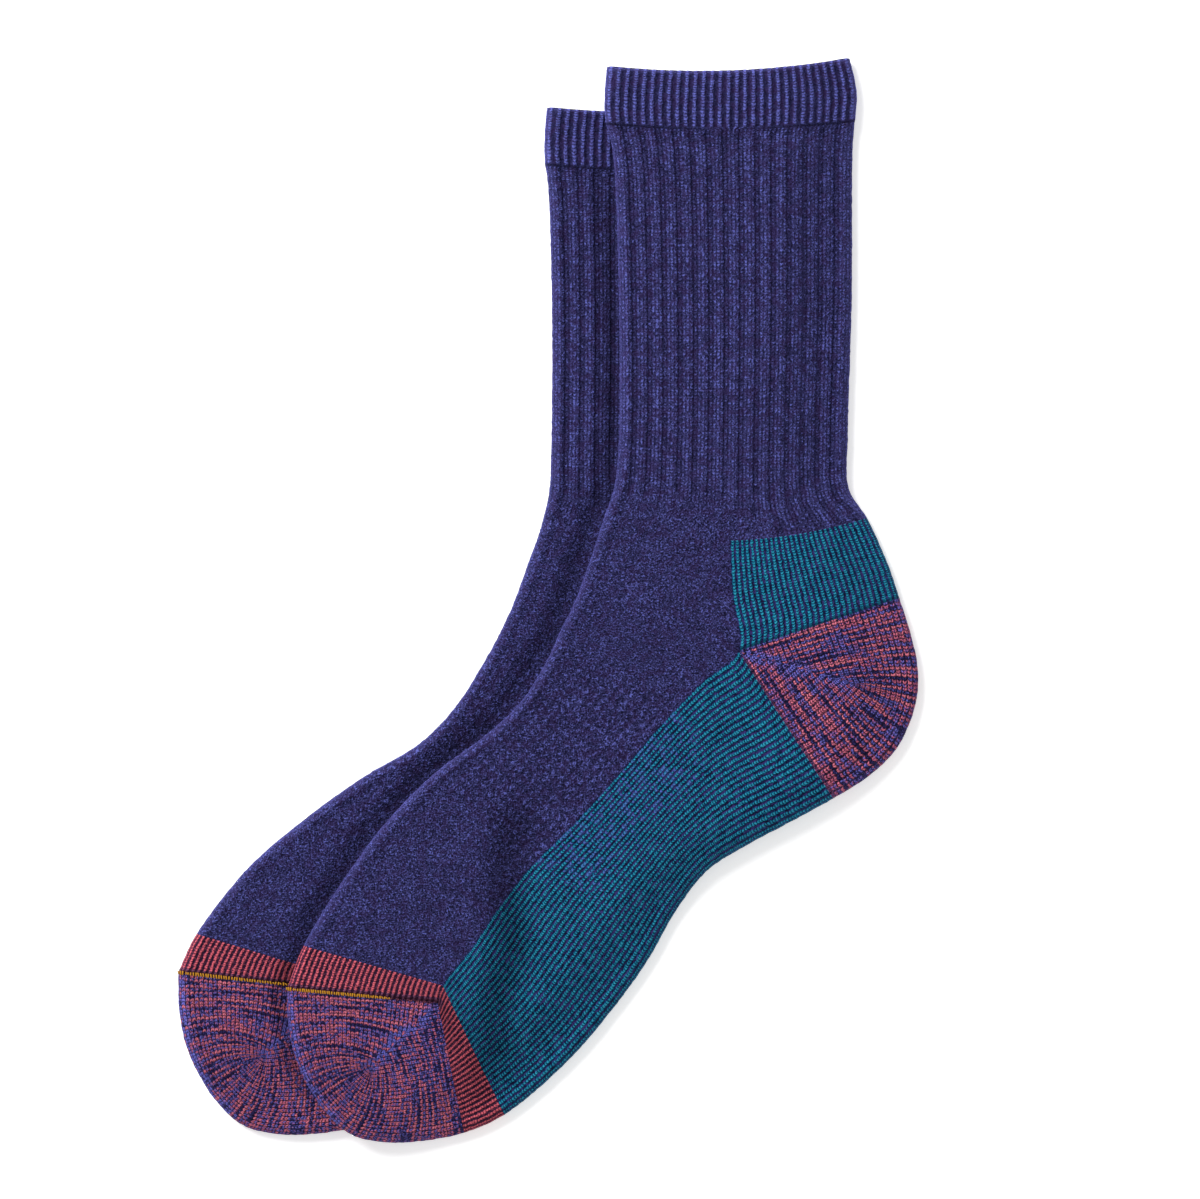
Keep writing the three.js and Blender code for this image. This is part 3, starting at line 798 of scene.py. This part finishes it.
def link_thread(name, is_under):
    """The ochre linking yarn: short upright stitches over the toe seam, close together."""
    shares = np.linspace(1, 0.26 if is_under else 0.32, 46)
    rng = np.random.default_rng(3)
    points, faces = [], []
    front, middle = (np.array(row_table[end][-1], float) for end in ("front", "middle"))
    across = (middle - front) / np.linalg.norm(middle - front)
    towards = np.array([across[1], -across[0]])
    seam_row = np.array([float(len(row_names) - 1)])
    for share in shares:
        fade = smoothstep(0.26, 0.6, share)
        middle_at = middle + (front - middle) * share + across * rng.normal(0, 0.06)
        half_height = strand_half_height * (0.45 + 0.55 * fade) + rng.normal(0, 0.08)
        lean = rng.normal(0.12, 0.1)
        # Each stitch is six rings of six points
        for step, t in enumerate(np.linspace(-1, 1, 6)):
            place = middle_at + towards * (t * half_height + 0.1) + across * lean * t
            laid = under_lay(seam_row, place[None, None])[0, 0] if is_under else place
            run = share * np.linalg.norm(front - middle)
            fold = (1 - share) * np.linalg.norm(front - middle) + 0.25
            base = 0 if is_under else drape(laid[None])[0]
            rise = (seam_half_thick - strand_sink) * rounding(np.array(fold), edge_run)
            top = base + seam_half_thick + rise
            height = top + 0.34 * math.sqrt(max(0, 1 - t * t)) * (0.3 + 0.7 * fade) - 0.12
            for k in range(6):
                angle = k * math.pi / 3
                side = across * strand_half_width * math.cos(angle)
                up = strand_half_thick * math.sin(angle)
                points.append((laid[0] + side[0], laid[1] + side[1], height + up))
            if step:
                first = len(points) - 12
                for k in range(6):
                    faces.append((first + k, first + (k + 1) % 6, first + 6 + (k + 1) % 6, first + 6 + k))
        first = len(points) - 36
        faces.append(tuple(first + k for k in range(5, -1, -1)))
        faces.append(tuple(first + 30 + k for k in range(6)))
    mesh = bpy.data.meshes.new(name)
    mesh.from_pydata(np.array(points) / 1000, [], faces)
    mesh.polygons.foreach_set("use_smooth", [True] * len(faces))
    mesh.materials.append(linking_yarn)
    thread = bpy.data.objects.new(name, mesh)
    bpy.context.scene.collection.objects.link(thread)
    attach(thread, "root")
    return thread


linking_yarn = bpy.data.materials.new("ochre linking yarn")
linking_yarn.use_nodes = True
yarn_shader = linking_yarn.node_tree.nodes["Principled BSDF"]
yarn_shader.inputs["Base Color"].default_value = srgb(182, 128, 40)
yarn_shader.inputs["Roughness"].default_value = 0.9
yarn_shader.inputs["Specular IOR Level"].default_value = 0.1

under_sock = lay_sock("under_sock_knit", True)
under_link = link_thread("under_toe_link", True)
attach(under_sock, "root")
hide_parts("under_sock")

# The upper sock
# The same tube again, laid over the under sock and off to its right, so that it drops from the
# under sock's heel and sole to the table.

upper_sock = lay_sock("upper_sock_knit", False)
upper_link = link_thread("upper_toe_link", False)
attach(upper_sock, "root")
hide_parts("upper_sock")

# The studio
# A plain white table, a broad soft light from the upper left and a pale surround, seen from
# straight above through a long lens.

floor_mesh = bpy.data.meshes.new("table")
floor_mesh.from_pydata([(-3, -3, -0.0002), (3, -3, -0.0002), (3, 3, -0.0002), (-3, 3, -0.0002)],
                       [], [(0, 1, 2, 3)])
floor = bpy.data.objects.new("table", floor_mesh)
bpy.context.scene.collection.objects.link(floor)
white = bpy.data.materials.new("white table")
white.use_nodes = True
white_shader = white.node_tree.nodes["Principled BSDF"]
white_shader.inputs["Base Color"].default_value = (0.93, 0.93, 0.93, 1)
white_shader.inputs["Roughness"].default_value = 0.9
white_shader.inputs["Emission Color"].default_value = (1, 1, 1, 1)
white_shader.inputs["Emission Strength"].default_value = 0.45
floor_mesh.materials.append(white)

key = bpy.data.lights.new("key light", "AREA")
key.shape = "DISK"
key.size = 1.3
key.energy = 74
key_light = bpy.data.objects.new("key light", key)
light_x, light_y, light_z = -1.3, 1.35, 1.75
key_light.location = (light_x, light_y, light_z)
light_tilt = math.atan2(math.hypot(light_x, light_y), light_z)
key_light.rotation_euler = (-light_tilt, 0, math.atan2(-light_x, light_y))
bpy.context.scene.collection.objects.link(key_light)

world = bpy.data.worlds.new("pale surround")
world.use_nodes = True
world.node_tree.nodes["Background"].inputs[0].default_value = (1, 1, 1, 1)
world.node_tree.nodes["Background"].inputs[1].default_value = 0.5
bpy.context.scene.world = world

camera_data = bpy.data.cameras.new("camera")
camera_data.lens = 300
camera_data.sensor_width = 36
camera = bpy.data.objects.new("camera", camera_data)
camera_x, camera_y, camera_distance, sock_height = 0.0175, -0.00033, 3.3333, 0.006
camera.location = (camera_x, camera_y, camera_distance + sock_height)
bpy.context.scene.collection.objects.link(camera)
bpy.context.scene.camera = camera
bpy.context.scene.view_settings.view_transform = "Standard"
